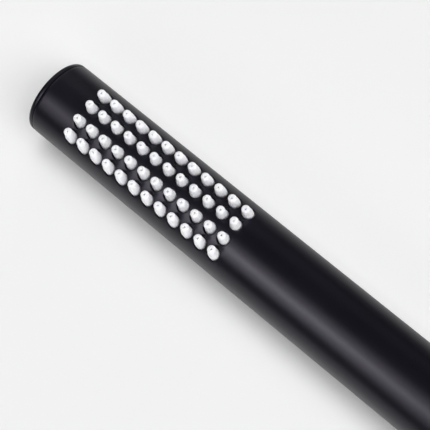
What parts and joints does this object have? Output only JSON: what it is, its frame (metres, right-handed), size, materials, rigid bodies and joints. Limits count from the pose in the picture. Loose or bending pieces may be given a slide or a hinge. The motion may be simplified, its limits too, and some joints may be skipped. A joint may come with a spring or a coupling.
{
  "type": "handheld shower head",
  "caption": "Slim round stick hand shower in satin black whose straight tube is both handle and spray head, with rows of white silicone nozzles, a screwed end cap and a G1/2 hose inlet.",
  "frame": {"origin": "centre of the hose inlet's sealing face, on the tube's axis", "axes": "+X along the tube from the hose inlet to the end cap, +Z the way the nozzles point, +Y completes the right-handed frame"},
  "size_m": [0.21, 0.025, 0.029],
  "materials": {
    "satin_black": "satin black coating on brass tube, very slightly violet",
    "satin_black_cap": "satin black coating on a turned brass cap",
    "satin_black_collar": "satin black coating on a turned brass collar",
    "white_silicone": "white moulded silicone, matt",
    "black_plastic": "black moulded acetal",
    "grey_plastic": "grey moulded acetal",
    "pipe_plastic": "natural extruded pipe",
    "brass_plain": "turned brass, bright",
    "seal_rubber": "black EPDM seal",
    "strainer_steel": "perforated stainless steel",
    "limiter_plastic": "coloured moulded plastic insert",
    "valve_plastic": "natural moulded plastic",
    "poppet_plastic": "coloured moulded plastic",
    "spring_steel": "stainless steel wire"
  },
  "bodies": {
    "housing": {"body_tube": "satin_black", "nozzle_liner": "black_plastic", "nozzle_mat": "white_silicone", "diffuser_plate": "grey_plastic", "spray_chassis": "black_plastic", "chassis_o_ring": "seal_rubber", "inner_pipe": "pipe_plastic", "inner_pipe_o_rings": "seal_rubber", "pipe_spacers": "grey_plastic", "inlet_connector": "brass_plain", "connector_o_ring": "seal_rubber", "base_collar": "satin_black_collar", "strainer_ring": "grey_plastic", "strainer_mesh": "strainer_steel", "flow_limiter_body": "limiter_plastic", "flow_limiter_o_ring": "seal_rubber", "check_valve_body": "valve_plastic", "check_valve_o_ring": "seal_rubber", "check_valve_spring": "spring_steel", "check_valve_retainer": "valve_plastic"},
    "valve": {"check_valve_poppet": "poppet_plastic", "check_valve_seal": "seal_rubber"},
    "cap_seal": {"end_cap_o_ring": "seal_rubber"},
    "cap": {"end_cap": "satin_black_cap"}
  },
  "joints": [
    {"name": "check_valve_lift", "type": "slide", "parent": "housing", "child": "valve", "axis": [1, 0, 0], "range_m": [0, 0.0025], "stiffness_N_per_m": 60, "springref_m": -0.004, "deforming": ["check_valve_spring"]},
    {"name": "cap_travel", "type": "slide", "parent": "housing", "child": "cap_seal", "axis": [1, 0, 0], "range_m": [0, 0.00535]},
    {"name": "cap_turn", "type": "hinge", "parent": "cap_seal", "child": "cap", "pos_m": [0.205, 0, 0], "axis": [1, 0, 0], "range_deg": [0, 1260]}
  ],
  "couplings": [
    {"joint": "cap_travel", "follows": "cap_turn", "m_per_rad": 0.00023873}
  ]
}
